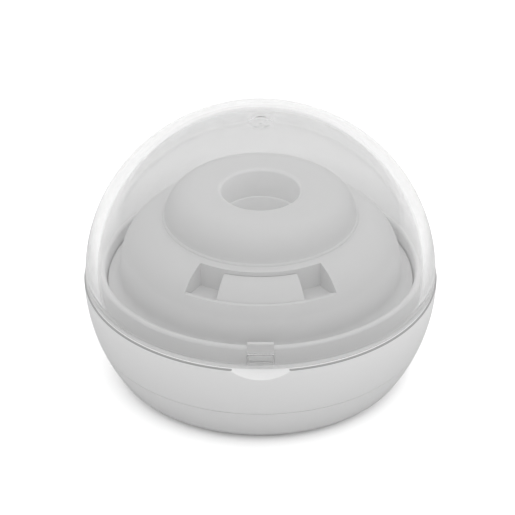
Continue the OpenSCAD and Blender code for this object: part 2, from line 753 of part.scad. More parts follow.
// Half outline of the crown's shell
module crown_2d() {
    edge_c = [crown_r - crown_edge_r, crown_top_z - crown_edge_r];
    difference() {
        union() {
            translate([throat_r, pedestal_top_z]) square([crown_r - throat_r, lip_c_z - pedestal_top_z]);
            translate([lip_c_r, pedestal_top_z]) square([crown_r - lip_c_r, crown_h]);
            translate([lip_c_r, lip_c_z]) circle(throat_lip_r);
        }
        difference() {
            translate(edge_c) square([far, far]);
            translate(edge_c) circle(crown_edge_r);
        }
        translate([throat_r + crown_wall, 0])
            square([edge_c[0] - throat_r - crown_wall, crown_top_z - crown_wall]);
        intersection() {
            translate(edge_c) circle(crown_edge_r - crown_wall);
            translate(edge_c) square([far, far]);
        }
        translate([edge_c[0] - eps, 0]) square([crown_edge_r - crown_wall + eps, edge_c[1] + eps]);
    }
}

module seat_crown() color([0.88, 0.88, 0.88]) home() {
    difference() {
        rotate_extrude() {
            crown_2d();
            translate([throat_r, cup_rim_z]) square([crown_wall, lip_c_z - cup_rim_z]);
            translate([spigot_in_r, pedestal_top_z]) square([crown_r - spigot_in_r, crown_wall]);
            translate([spigot_in_r, pedestal_top_z - spigot_h]) square([spigot_wall, spigot_h + 1]);
            translate([crown_r, pedestal_top_z]) intersection() {
                circle(bead_r);
                translate([-bead_r, 0]) square([2 * bead_r, bead_r]);
            }
        }
        at(indicator_at, indicator_deg) disc(indicator_r + 0.05, pipe_neck_z - 1, crown_top_z + 1);
    }
}

module indicator_pipe() color([0.8, 0.85, 0.9, 0.6]) home() at(indicator_at, indicator_deg) {
    disc(pipe_r, board_top_z + pipe_lift, pipe_neck_z);
    disc(indicator_r, pipe_neck_z - 1, crown_top_z);
}

module status_led() color([0.9, 0.9, 0.8]) home() at(indicator_at, indicator_deg)
    block(-status_led_w / 2, status_led_w / 2, -status_led_d / 2, status_led_d / 2,
        board_top_z, board_top_z + status_led_h);

module reflector_cup() color([0.93, 0.93, 0.94]) home() {
    rotate_extrude() {
        difference() {
            union() {
                polygon([[0, cup_under_z], [cup_floor_r, cup_under_z],
                    [cup_floor_r + cup_wall, cup_floor_z + 1], [cup_rim_r + cup_wall, cup_rim_z],
                    [0, cup_rim_z]]);
                translate([0, cup_rim_z - cup_flange_t]) square([cup_flange_r, cup_flange_t]);
                translate([0, board_top_z]) square([skirt_r + cup_wall, cup_under_z - board_top_z + eps]);
            }
            polygon([[0, cup_floor_z], [cup_floor_r - cup_round_r, cup_floor_z],
                [cup_floor_r, cup_floor_z + cup_round_r], [cup_rim_r, cup_rim_z + eps],
                [0, cup_rim_z + eps]]);
            translate([cup_floor_r - cup_round_r, cup_floor_z + cup_round_r]) circle(cup_round_r);
            translate([0, board_top_z - 1]) square([skirt_r, cup_under_z - board_top_z + 1]);
            translate([0, cup_under_z - eps]) square([window_r + fit, window_t + eps]);
            translate([0, cup_under_z]) square([window_r - window_lip, cup_wall + 1]);
        }
    }
}

module uv_window() color([0.7, 0.75, 0.9, 0.5]) home() disc(window_r, cup_under_z, cup_under_z + window_t);

module uv_led() color([0.85, 0.8, 0.6]) home() {
    block(-lamp_w / 2, lamp_w / 2, -lamp_w / 2, lamp_w / 2, board_top_z, board_top_z + lamp_h / 2);
    disc(lamp_w * 0.4, board_top_z, board_top_z + lamp_h);
}

module main_board() color([0.1, 0.35, 0.2]) home() difference() {
    disc(board_r, board_z, board_top_z);
    for (deg = board_deg) at(board_screw_at, deg) disc(screw_r + 0.15, board_z - 1, board_top_z + 1);
}

module board_block(spot, w, d, h) translate(spot)
    block(-w / 2, w / 2, -d / 2, d / 2, board_top_z, board_top_z + h);

module board_parts() color([0.12, 0.12, 0.13]) home() {
    board_block(chip_at, chip_w, chip_w, chip_h);
    board_block(connector_at, connector_w, connector_d, connector_h);
    board_block(socket_at, socket_w, socket_d, socket_h);
    translate(coil_at) disc(coil_r, board_top_z, board_top_z + coil_h);
    for (spot = can_at) translate(spot) disc(can_r, board_top_z, board_top_z + can_h);
}

// A round-headed screw driven upwards, with its head's seat at this height
module screw_up(seat_z, length) {
    difference() {
        disc(screw_head_r, seat_z - screw_head_h, seat_z);
        block(-1.5, 1.5, -0.3, 0.3, seat_z - screw_head_h - 1, seat_z - screw_head_h / 2);
        block(-0.3, 0.3, -1.5, 1.5, seat_z - screw_head_h - 1, seat_z - screw_head_h / 2);
    }
    disc(screw_r, seat_z - eps, seat_z + length);
}

module board_screws() color([0.6, 0.6, 0.62]) home()
    for (deg = board_deg) at(board_screw_at, deg) {
        disc(1.7, board_top_z, board_top_z + 1.2);
        disc(screw_r, board_top_z - board_t - trough_t, board_top_z);
    }

module pedestal_screws() color([0.6, 0.6, 0.62]) home()
    for (deg = pedestal_deg) at(pedestal_screw_at, deg)
        screw_up(tray_under_z, trough_t + pedestal_screw_bite);

module housing_screws() color([0.6, 0.6, 0.62]) home()
    for (deg = housing_deg) at(housing_screw_at, deg)
        screw_up(bottom_z + screw_well, cover_seam_z - bottom_z);

module lid_sensor() color([0.1, 0.3, 0.2]) home() at(0, sensor_deg) {
    start = ball_r - sensor_in;
    chip_z = sensor_shelf_z + sensor_board_t;
    block(start, start + sensor_board_l, -sensor_half, sensor_half, sensor_shelf_z, chip_z);
    translate([start + sensor_chip_in, 0, 0])
        block(0, sensor_chip_l, -sensor_chip_half, sensor_chip_half, chip_z, chip_z + sensor_chip_h);
}

// Cells lie along X, side by side, and alternate ends: dir is 1 where the nub points to +X
module for_cells() for (i = [-1 : 1]) translate([0, i * cell_pitch, cell_z])
    rotate([0, 0, i == 0 ? 180 : 0]) children();

module batteries() color([0.3, 0.32, 0.36]) home() for_cells() {
    start = -bay_half_l + plate_t + spring_len;
    rod_x(cell_r, start, start + cell_len - nub_h);
    rod_x(nub_r, start, start + cell_len);
}

module battery_springs() color([0.8, 0.8, 0.82]) home() for_cells()
    translate([-bay_half_l + plate_t, 0, 0]) rotate([0, 90, 0])
        coil(spring_wide_r, spring_narrow_r, spring_len, spring_wire, 4);

module battery_plates() color([0.75, 0.75, 0.7]) home() for_cells() {
    block(-bay_half_l, -bay_half_l + plate_t, -plate_half, plate_half, -plate_half, plate_half);
    block(bay_half_l - plate_t, bay_half_l, -plate_half, plate_half, -plate_half, plate_half);
}

module battery_leads() color([0.6, 0.1, 0.1]) home()
    for (side = [-1, 1]) translate([side * lead_x, lead_y, 0]) disc(lead_r, bay_roof_z, board_z);

module battery_door() color(white) home() {
    end = bay_half_l + bay_wall - 0.2 - door_gap;
    side_w = bay_half_w + bay_wall - 0.2 - door_gap;
    difference() {
        union() {
            block(-end, end, -side_w, side_w, bottom_z, bay_z);
            block(-bay_half_l - door_ear_l, 0, -door_ear_w / 2, door_ear_w / 2, bottom_z, bay_z);
            for (side = [-1, 1]) block(0, end + door_tab_l, side * door_tab_y - door_tab_w / 2,
                side * door_tab_y + door_tab_w / 2, bay_z - door_tab_t, bay_z);
        }
        translate([-door_screw_x, 0, 0]) {
            disc(door_screw_r + 0.15, bottom_z - 1, bay_z + 1);
            disc(2.1, bottom_z - 1, bottom_z + door_t / 2);
        }
        for (i = [-3 : 3]) translate([door_grip_x + i * door_grip_pitch, 0, 0])
            block(0, door_grip_w, -door_grip_half, door_grip_half, bottom_z - 1, bottom_z + door_grip_depth);
    }
}

module door_screw() color([0.6, 0.6, 0.62]) home() translate([-door_screw_x, 0, 0]) {
    difference() {
        disc(1.9, bottom_z + 0.1, bottom_z + door_t / 2);
        block(-1.4, 1.4, -0.25, 0.25, bottom_z - 1, bottom_z + 0.5);
    }
    disc(door_screw_r, bottom_z + 0.5, bay_z + 3.2);
}

module feet() color([0.35, 0.35, 0.36]) home()
    for (deg = foot_deg) at(foot_at, deg) disc(foot_r, 0, bottom_z + foot_inlay);

lid_dome();
lid_magnet();
hinge_pin();
base_shell();
bottom_cover();
deck_tray();
lid_catch();
pedestal();
pedestal_screws();
start_button();
button_springs();
button_switch();
button_board();
button_board_screws();
seat_crown();
indicator_pipe();
reflector_cup();
uv_window();
uv_led();
main_board();
board_parts();
status_led();
board_screws();
lid_sensor();
batteries();
battery_springs();
battery_plates();
battery_leads();
battery_door();
door_screw();
housing_screws();
feet();
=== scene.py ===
"""The looks of a pacifier sterilizer case: a clear dome lid on a white base bowl, with a stepped
white seat inside whose crown holds a deep glossy cup. Metres, +Z up, the front towards -Y."""

import math

import bpy
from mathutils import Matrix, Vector


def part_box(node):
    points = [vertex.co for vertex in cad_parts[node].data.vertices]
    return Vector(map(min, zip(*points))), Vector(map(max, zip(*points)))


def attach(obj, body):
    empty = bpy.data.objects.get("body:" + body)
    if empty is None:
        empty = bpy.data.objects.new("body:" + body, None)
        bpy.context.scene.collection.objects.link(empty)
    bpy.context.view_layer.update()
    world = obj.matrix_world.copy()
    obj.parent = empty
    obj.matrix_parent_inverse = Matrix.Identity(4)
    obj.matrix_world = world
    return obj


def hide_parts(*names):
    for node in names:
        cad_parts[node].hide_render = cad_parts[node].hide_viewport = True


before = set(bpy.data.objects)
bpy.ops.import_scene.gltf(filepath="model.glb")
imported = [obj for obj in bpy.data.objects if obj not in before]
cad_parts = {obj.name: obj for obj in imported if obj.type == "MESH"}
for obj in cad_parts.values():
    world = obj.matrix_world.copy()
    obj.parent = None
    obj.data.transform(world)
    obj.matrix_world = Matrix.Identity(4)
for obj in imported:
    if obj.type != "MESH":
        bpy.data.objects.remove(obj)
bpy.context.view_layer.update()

MM = 0.001

# ---------------------------------------------------------------- sizes, in millimetres
DECK_LO, DECK_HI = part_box("deck_tray")
AXIS = Vector(((DECK_LO.x + DECK_HI.x) / 2, (DECK_LO.y + DECK_HI.y) / 2, 0))

BALL_R = 55
BALL_Z = 34
RIM_Z = 32.4
RIM_W = 3
BOWL_WALL = 2.4
EDGE_ROUND = 0.3
SEAM_Z = 14.25
SEAM_CHAMFER_W = 0.15
SEAM_CHAMFER_H = 0.1
SHELF_T = 2

LID_INSET = 0.4
LID_WALL = 3.8
LID_R = BALL_R - LID_INSET
LID_IN_R = LID_R - LID_WALL
LID_GAP = 0.3
LID_FOOT_Z = RIM_Z + LID_GAP
LID_DROP = 1.2
LID_ARC = 50
LID_EDGE_ROUND = 0.35

HINGE_OUT = 1
HINGE_RISE = 0.1
HINGE_BACK = BALL_R + HINGE_OUT
HINGE_Z = RIM_Z + HINGE_RISE
KNUCKLE_R = 2.6
KNUCKLE_GAP = 0.3
PIN_R = 1
PIN_GAP = 0.05
LUG_HALF = 8.8
LUG_BITE = 2.1
EAR_GAP = 0.2
EAR_W = 3.4
EAR_IN = LUG_HALF + EAR_GAP
EAR_OUT = EAR_IN + EAR_W
EAR_ROOT_H = 8
EAR_ROOT_BITE = 1

COLLAR_GAP = 0.9
COLLAR_WALL = 1.8
COLLAR_H = 5.9
COLLAR_OUT_R = LID_IN_R - COLLAR_GAP
COLLAR_R = COLLAR_OUT_R - COLLAR_WALL
SHELF_GAP = 0.3
SHELF_DROP = 2
SHELF_Z = RIM_Z - SHELF_DROP

POCKET_W = 7.8
POCKET_H = 3.6
POCKET_DEEP = 1.5
POCKET_RISE = 0.8
POCKET_Z = RIM_Z + POCKET_RISE
MAGNET_BORE_R = 1.3

SCOOP_W = 20.4
SCOOP_H = 3.7
SCOOP_DEEP = 2.6

TROUGH_Z = 28.5
PEDESTAL_R = 43.5
PEDESTAL_Z = 54
SHOULDER_R = 16
WALL = 2
LAND_EDGE = 0.5
RECESS_Z = 45.4
RECESS_R = 32.1
RECESS_HALF = 34
RECESS_LIP_Z = 46.9
RECESS_LIP = 1
BUTTON_HALF = 19.6
BUTTON_GAP = 0.25
BUTTON_INSET = RECESS_LIP + BUTTON_GAP
BUTTON_TRAVEL = 1
BUTTON_ROUND = 0.35
STEM_R = 1.5
STEM_OUT = 3.1
STEM_DOWN = 2.5
STEM_BITE = 0.5
KEPT_WALL_DEG = 3
FLARE_GAP = 0.5
FLARE_DROP = 4.4
FLARE_R = COLLAR_R - FLARE_GAP
FLARE_Z = RIM_Z + COLLAR_H - FLARE_DROP
FLARE_ROUND = 2.5
FLARE_EDGE = 0.4
FLARE_BITE = 1
BEYOND_R = 60
BEYOND_Z = 70

CROWN_R = 29.4
CROWN_Z = 63.3
CROWN_EDGE_R = 9
BEAD_R = 0.8
LAND_R = CROWN_R + BEAD_R
SPIGOT_STEP = 3
SPIGOT_H = 3
SPIGOT_WALL = 1.7
SPIGOT_GAP = 0.1
SPIGOT_R = CROWN_R - SPIGOT_STEP
THROAT_R = 12.1
LIP_R = 1

CUP_SINK = 9.6
CUP_STEP = 0.3
CUP_RIM_Z = CROWN_Z - CUP_SINK
CUP_RIM_R = THROAT_R - CUP_STEP
CUP_FLOOR_Z = 34.5
CUP_FLOOR_R = 8.6
CUP_FLOOR_ROUND = 3
CUP_WALL = 1.4
CUP_FLANGE_W = 3.8
CUP_FLANGE_T = 1.6
CUP_FLANGE_R = THROAT_R + CUP_FLANGE_W
WINDOW_GAP = 0.1
WINDOW_SEAT = 1
SKIRT_IN = 1.6
SKIRT_OUT = 3

TURN_STEPS = 192


# ---------------------------------------------------------------- modelling
def free_hands():
    if bpy.context.object and bpy.context.object.mode != "OBJECT":
        bpy.ops.object.mode_set(mode="OBJECT")
    bpy.ops.object.select_all(action="DESELECT")


def take(piece):
    free_hands()
    piece.select_set(True)
    bpy.context.view_layer.objects.active = piece


def place(r, z, deg=-90, side=0):
    """A point in metres: millimetres out from the ball's axis at a bearing, and sideways from it."""
    a = math.radians(deg)
    out, across = Vector((math.cos(a), math.sin(a), 0)), Vector((-math.sin(a), math.cos(a), 0))
    return AXIS + (out * r + across * side + Vector((0, 0, z))) * MM


def arc(centre, radius, start, end, step=2.5):
    """Points of an arc in an outline, from one angle to another in degrees."""
    count = max(2, round(abs(end - start) / step))
    angles = [math.radians(start + (end - start) * i / count) for i in range(count + 1)]
    return [(centre[0] + radius * math.cos(a), centre[1] + radius * math.sin(a)) for a in angles]


def corner(at, before, after, radius, count=4):
    """A corner of an outline rounded off between the points before and after it."""
    p, a, b = Vector(at), Vector(before) - Vector(at), Vector(after) - Vector(at)
    half = a.angle(b) / 2
    reach = radius / math.tan(half)
    centre = p + (a.normalized() + b.normalized()).normalized() * radius / math.sin(half)
    start, end = p + a.normalized() * reach - centre, p + b.normalized() * reach - centre
    turn = start.angle_signed(end)
    points = []
    for i in range(count + 1):
        a = -turn * i / count
        x = start.x * math.cos(a) - start.y * math.sin(a)
        y = start.x * math.sin(a) + start.y * math.cos(a)
        points.append((centre.x + x, centre.y + y))
    return points


def drawn(name, outline, deg=0):
    """The outline's edges in the plane through the axis at a bearing, drawn on from one point."""
    free_hands()
    bpy.ops.mesh.primitive_plane_add(size=MM, location=place(outline[0][0], outline[0][1], deg))
    piece = bpy.context.object
    piece.name = piece.data.name = name
    bpy.ops.object.transform_apply()
    bpy.ops.object.mode_set(mode="EDIT")
    bpy.ops.mesh.select_all(action="SELECT")
    bpy.ops.mesh.merge(type="CENTER")
    for (r0, z0), (r1, z1) in zip(outline, outline[1:]):
        step = place(r1, z1, deg) - place(r0, z0, deg)
        bpy.ops.mesh.extrude_region_move(TRANSFORM_OT_translate={"value": step})
    bpy.ops.mesh.select_all(action="SELECT")
    return piece


def turned(name, outline, steps=TURN_STEPS):
    """A closed solid of revolution. The outline ends on the axis or where it began."""
    piece = drawn(name, outline)
    bpy.ops.mesh.spin(steps=steps, angle=math.tau, center=AXIS, axis=(0, 0, 1))
    bpy.ops.mesh.select_all(action="SELECT")
    bpy.ops.mesh.remove_doubles(threshold=MM / 5000)
    bpy.ops.mesh.normals_make_consistent(inside=False)
    bpy.ops.object.mode_set(mode="OBJECT")
    return piece


def sector(name, half, outline, steps):
    """A wedge of a turned solid, centred on the front and closed at its two sides."""
    piece = drawn(name, outline + outline[:1], half - 90)
    bpy.ops.mesh.remove_doubles(threshold=MM / 5000)
    bpy.ops.mesh.edge_face_add()
    bpy.ops.mesh.spin(steps=steps, angle=math.radians(2 * half), center=AXIS, axis=(0, 0, 1))
    bpy.ops.mesh.select_all(action="SELECT")
    bpy.ops.mesh.normals_make_consistent(inside=False)
    bpy.ops.object.mode_set(mode="OBJECT")
    return piece


def block(name, low, high):
    """A box between two corners in millimetres about the axis, as a start for other shapes."""
    free_hands()
    low, high = Vector(low), Vector(high)
    bpy.ops.mesh.primitive_cube_add(size=1, location=AXIS + (low + high) / 2 * MM,
                                    scale=(high - low) * MM)
    piece = bpy.context.object
    piece.name = piece.data.name = name
    bpy.ops.object.transform_apply()
    return piece


def rod(name, radius, start, end, vertices=64):
    """A round bar between two points in millimetres about the axis."""
    free_hands()
    start, end = AXIS + Vector(start) * MM, AXIS + Vector(end) * MM
    turn = (end - start).to_track_quat("Z", "Y").to_euler()
    bpy.ops.mesh.primitive_cylinder_add(vertices=vertices, radius=radius * MM,
                                        depth=(end - start).length, location=(start + end) / 2,
                                        rotation=turn)
    piece = bpy.context.object
    piece.name = piece.data.name = name
    bpy.ops.object.transform_apply()
    return piece


def ball(name, radius, at, segments=128):
    free_hands()
    bpy.ops.mesh.primitive_uv_sphere_add(segments=segments, ring_count=segments // 2,
                                         radius=radius * MM, location=AXIS + Vector(at) * MM)
    piece = bpy.context.object
    piece.name = piece.data.name = name
    bpy.ops.object.transform_apply()
    return piece


def combine(piece, other, operation):
    """A boolean of the piece with another solid, which is used up."""
    take(piece)
    step = piece.modifiers.new("combine", "BOOLEAN")
    step.operation, step.object, step.solver = operation, other, "EXACT"
    bpy.ops.object.modifier_apply(modifier=step.name)
    bpy.data.meshes.remove(other.data)
    return piece


def cut(piece, *others):
    for other in others:
        combine(piece, other, "DIFFERENCE")
    return piece


def join(piece, *others):
    for other in others:
        combine(piece, other, "UNION")
    return piece


def bevelled(piece, width, segments=2, angle=40):
    """Rounds the sharp edges of a piece."""
    take(piece)
    step = piece.modifiers.new("bevel", "BEVEL")
    step.width, step.segments = width * MM, segments
    step.limit_method, step.angle_limit = "ANGLE", math.radians(angle)
    bpy.ops.object.modifier_apply(modifier=step.name)
    return piece


def smoothed(piece, angle=35):
    take(piece)
    bpy.ops.object.shade_smooth_by_angle(angle=math.radians(angle))
    return piece


# ---------------------------------------------------------------- materials
def material(name):
    made = bpy.data.materials.new(name)
    made.use_nodes = True
    return made, made.node_tree, made.node_tree.nodes["Principled BSDF"]


def add_node(tree, kind, inputs=None, **settings):
    made = tree.nodes.new(kind)
    for key, value in settings.items():
        setattr(made, key, value)
    for key, value in (inputs or {}).items():
        if isinstance(value, bpy.types.NodeSocket):
            tree.links.new(value, made.inputs[key])
        else:
            made.inputs[key].default_value = value
    return made


def noise(tree, size, detail=2.0, roughness=0.5):
    """Noise over the object's own coordinates, with features of a size in millimetres."""
    where = add_node(tree, "ShaderNodeTexCoord").outputs["Object"]
    made = add_node(tree, "ShaderNodeTexNoise",
                    {"Vector": where, "Scale": 1 / (size * MM), "Detail": detail, "Roughness": roughness})
    return made.outputs["Fac"]


def ranged(tree, value, low, high, start=0.3, end=0.7):
    """The value's range from start to end, mapped to low to high."""
    made = add_node(tree, "ShaderNodeMapRange", {"Value": value, "From Min": start, "From Max": end,
                                                 "To Min": low, "To Max": high})
    return made.outputs["Result"]


def tinted(tree, factor, dark, light):
    """A colour between two, where a factor of 0 gives the first and of 1 the second."""
    made = add_node(tree, "ShaderNodeMix", data_type="RGBA")
    tree.links.new(factor, made.inputs["Factor"])
    made.inputs["A"].default_value = (*dark, 1)
    made.inputs["B"].default_value = (*light, 1)
    return made.outputs["Result"]


def grey(value, warm=0.0):
    return (value * (1 + warm), value, value * (1 - warm))


def away_from_ring(tree, radius, height=None):
    """How far a point is from a circle about the axis, in metres. With no height it is how far the
    point is past the radius, and less than 0 inside it."""
    where = add_node(tree, "ShaderNodeTexCoord").outputs["Object"]
    flat = add_node(tree, "ShaderNodeVectorMath", {0: where, 1: (1, 1, 0)}, operation="MULTIPLY")
    out = add_node(tree, "ShaderNodeVectorMath", {0: flat.outputs[0], 1: AXIS},
                   operation="DISTANCE").outputs["Value"]
    past = add_node(tree, "ShaderNodeMath", {0: out, 1: radius}, operation="SUBTRACT").outputs[0]
    if height is None:
        return past
    level = add_node(tree, "ShaderNodeSeparateXYZ", {0: where}).outputs["Z"]
    over = add_node(tree, "ShaderNodeMath", {0: level, 1: height}, operation="SUBTRACT").outputs[0]
    both = add_node(tree, "ShaderNodeCombineXYZ", {0: past, 1: over}).outputs[0]
    return add_node(tree, "ShaderNodeVectorMath", {0: both}, operation="LENGTH").outputs["Value"]


def moulded(name, tone, roughness, grain=0.5, depth=0.004, warm=0.0, mottle=0.012, coat=0.0, painted_zone=None):
    """Moulded plastic: a fine grain, faint flow marks in its tone and a little change of gloss.
    zone gives a circle's radius and height, or a radius alone, then the distances from it between
    which another tone fades out, and that tone: painted shade where it is darker, painted light where
    it is lighter."""
    made, tree, bsdf = material(name)
    flow = noise(tree, 14, detail=3)
    low, high = grey(tone * (1 - mottle), warm), grey(tone * (1 + mottle), warm)
    colour = tinted(tree, flow, low, high)
    # The zone's tone is painted near a circle: painted shade where darker, painted light where lighter.
    if painted_zone:
        radius, height, start, end, painted_tone = painted_zone
        far = ranged(tree, away_from_ring(tree, radius, height), 0, 1, start, end)
        mixed = tinted(tree, far, grey(painted_tone), (0, 0, 0))
        tree.links.new(colour, mixed.node.inputs["B"])
        colour = mixed
    tree.links.new(colour, bsdf.inputs["Base Color"])
    gloss = noise(tree, 5, detail=4)
    tree.links.new(ranged(tree, gloss, roughness * 0.9, roughness * 1.1), bsdf.inputs["Roughness"])
    bump = add_node(tree, "ShaderNodeBump", {"Height": noise(tree, grain, detail=2), "Strength": 0.5,
                                             "Distance": depth * MM})
    tree.links.new(bump.outputs["Normal"], bsdf.inputs["Normal"])
    if coat:
        bsdf.inputs["Coat Weight"].default_value = coat
        bsdf.inputs["Coat Roughness"].default_value = 0.04
    return made


def either(tree, *values):
    """The greatest of some 0 or 1 values."""
    found = values[0]
    for value in values[1:]:
        found = add_node(tree, "ShaderNodeMath", {0: found, 1: value}, operation="MAXIMUM").outputs[0]
    return found


CLEAR_SHARE = 0.99
# The matte grey that paints the seam's shade on the lid's lower face: its share, its tone, and the
# heights above the foot in millimetres over which it fades out.
FOOT_FACE_SHADE = 0.75
FOOT_FACE_SHADE_TONE = 0.8
FOOT_FACE_SHADE_FADE = (0.05, 0.3)


def clear_plastic(name, tint, index, roughness=0.0, foot=None):
    """Clear plastic that bends what is seen through it and lets the room's light through, though less
    of it near its thick foot. Its lower face and lowest edge take a matte grey, painted shade for the
    seam under the lid. foot gives the heights in metres of that face and of the dimmed part's top, and
    the share of the light that the foot lets through."""
    made, tree, bsdf = material(name)
    bsdf.inputs["Base Color"].default_value = (*tint, 1)
    bsdf.inputs["Transmission Weight"].default_value = 1
    bsdf.inputs["IOR"].default_value = index
    bsdf.inputs["Roughness"].default_value = roughness
    rays = add_node(tree, "ShaderNodeLightPath").outputs
    lit = either(tree, rays["Is Shadow Ray"], rays["Is Diffuse Ray"])
    through = add_node(tree, "ShaderNodeBsdfTransparent", {"Color": (*grey(CLEAR_SHARE), 1)})
    solid = bsdf.outputs[0]
    if foot:
        where = add_node(tree, "ShaderNodeTexCoord").outputs["Object"]
        height = add_node(tree, "ShaderNodeSeparateXYZ", {0: where}).outputs["Z"]
        low_z, high_z, low_light = foot
        dim = ranged(tree, height, 0, 1, low_z, high_z)
        tree.links.new(tinted(tree, dim, grey(low_light), grey(CLEAR_SHARE)), through.inputs["Color"])
        # Painted shade: the lower face and lowest edge take a matte grey, which darkens the seam line
        # under the lid.
        foot_shade_bsdf = add_node(tree, "ShaderNodeBsdfDiffuse", {"Color": (*grey(FOOT_FACE_SHADE_TONE), 1)}).outputs[0]
        foot_shade_share = ranged(tree, height, FOOT_FACE_SHADE, 0, low_z + FOOT_FACE_SHADE_FADE[0] * MM, low_z + FOOT_FACE_SHADE_FADE[1] * MM)
        solid = add_node(tree, "ShaderNodeMixShader", {0: foot_shade_share, 1: solid, 2: foot_shade_bsdf}).outputs[0]
    mixed = add_node(tree, "ShaderNodeMixShader", {0: lit, 1: solid, 2: through.outputs[0]})
    tree.links.new(mixed.outputs[0], tree.nodes["Material Output"].inputs["Surface"])
    return made


def metal(name, tone, roughness, warm=0.0):
    """Metal with a fine brushed change of tone and gloss."""
    made, tree, bsdf = material(name)
    brushed = noise(tree, 0.6, detail=4)
    colour = tinted(tree, brushed, grey(tone * 0.94, warm), grey(tone, warm))
    tree.links.new(colour, bsdf.inputs["Base Color"])
    tree.links.new(ranged(tree, brushed, roughness * 0.8, roughness * 1.25), bsdf.inputs["Roughness"])
    bsdf.inputs["Metallic"].default_value = 1
    return made


def board_green(name):
    """A circuit board's green, with darker and lighter patches for its tracks."""
    made, tree, bsdf = material(name)
    tracks = noise(tree, 1.6, detail=1)
    base = tinted(tree, ranged(tree, tracks, 0, 1, 0.48, 0.52), (0.02, 0.09, 0.04), (0.03, 0.13, 0.06))
    tree.links.new(base, bsdf.inputs["Base Color"])
    tree.links.new(ranged(tree, noise(tree, 3), 0.3, 0.45), bsdf.inputs["Roughness"])
    return made


def lamp_package(name, tone):
    """The pale, slightly warm package of a lamp that is off."""
    made, tree, bsdf = material(name)
    tree.links.new(tinted(tree, noise(tree, 0.5), grey(tone * 0.9, 0.05), grey(tone, 0.05)),
                   bsdf.inputs["Base Color"])
    bsdf.inputs["Roughness"].default_value = 0.3
    return made


# Painted shade: a dark line along the rim's outer edge, where the gap under the lid's foot is shaded.
SEAM_PAINTED_SHADE = ((BALL_R - 0.05) * MM, RIM_Z * MM, 0.4 * MM, 0.55 * MM, 0.4)
# Painted light: the throat's wall and lip are a lighter tone than the rest of the crown.
THROAT_PAINTED_LIGHT = ((THROAT_R + 0.5) * MM, None, -MM / 2, MM / 2, 0.96)
LID_FOOT = (LID_FOOT_Z * MM, (LID_FOOT_Z + 4) * MM, 0.9)

LOOKS = {
    # The shell's white carries painted shade along the rim's outer edge.
    "white_shell": moulded("satin_white_shell", 0.95, 0.34, grain=0.45, depth=0.005,
                           painted_zone=SEAM_PAINTED_SHADE),
    "white_inner": moulded("matte_white_inner", 0.78, 0.5, grain=0.6, depth=0.006),
    # The crown's copy of the inner white, with light painted on its throat.
    "white_crown": moulded("matte_white_crown_painted_throat_light", 0.78, 0.5, grain=0.6, depth=0.006,
                           painted_zone=THROAT_PAINTED_LIGHT),
    "gloss_cup": moulded("gloss_white_cup", 0.97, 0.1, grain=2, depth=0.001, coat=0.5),
    "clear_lid": clear_plastic("clear_dome_plastic", (0.8, 0.8, 0.8), 1.5, foot=LID_FOOT),
    "clear_window": clear_plastic("clear_lamp_window", (0.95, 0.96, 0.99), 1.46, 0.02),
    "lamp": lamp_package("lamp_package", 0.75),
    "steel": metal("bright_steel", 0.62, 0.3),
    "magnet": metal("nickel_magnet", 0.55, 0.22),
    "black_plastic": moulded("black_component", 0.03, 0.45),
    "circuit_board": board_green("green_board"),
    "cell_jacket": moulded("grey_cell_jacket", 0.12, 0.3, coat=0.4),
    "lead_jacket": moulded("lead_jacket", 0.1, 0.5),
    "foot_rubber": moulded("grey_foot_rubber", 0.14, 0.75, grain=0.3, depth=0.02),
}


def finish_with(piece, slot_name):
    """Gives a piece the finish of one of the record's material slots."""
    piece.data.materials.clear()
    piece.data.materials.append(LOOKS[slot_name])
    return piece


def dress_cad_nodes():
    """Every CAD node that still shows takes the made finish in place of its plain one."""
    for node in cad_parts.values():
        for slot in node.material_slots:
            slot.material = LOOKS[slot.material.name.split(".")[0]]


def stands_for(piece, node, body, slot_name, look=None):
    """Smooths a finished piece, and hands it over in place of a CAD node. look names a finish that
    is not the slot's own."""
    smoothed(piece)
    finish_with(piece, look or slot_name)
    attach(piece, body)
    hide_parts(node)
    return piece


# ---------------------------------------------------------------- the clear lid
def dome_outline(inset, start_z):
    """One side of the dome's wall from its foot to the axis: a side arc, then a flatter top arc."""
    lean = math.radians(LID_ARC)
    shift = LID_DROP / (1 - 1 / math.cos(lean) + math.tan(lean))
    drop = shift * math.tan(lean)
    side_r = LID_R - shift - inset
    top_r = LID_R - shift + shift / math.cos(lean) - inset
    start = math.degrees(math.asin((start_z - BALL_Z) / side_r))
    side = arc((shift, BALL_Z), side_r, start, LID_ARC, 1.2)
    return side + arc((0, BALL_Z - drop), top_r, LID_ARC, 90, 1.2)[1:]


def gate_marks(outline):
    """The dome's top with the moulding gate's dimple: a ring, a low island and a centre point."""
    top_z = outline[-1][1]
    kept = [p for p in outline if p[0] > 4.5]
    ring = [(4.4, -0.177), (4.15, -0.175), (3.9, -0.21), (3.6, -0.235), (3.3, -0.225), (3, -0.19),
            (2.7, -0.14), (2.4, -0.11), (1.2, -0.075), (0.8, -0.06), (0.5, -0.02), (0.25, 0), (0, 0)]
    return kept + [(r, top_z + z) for r, z in ring]


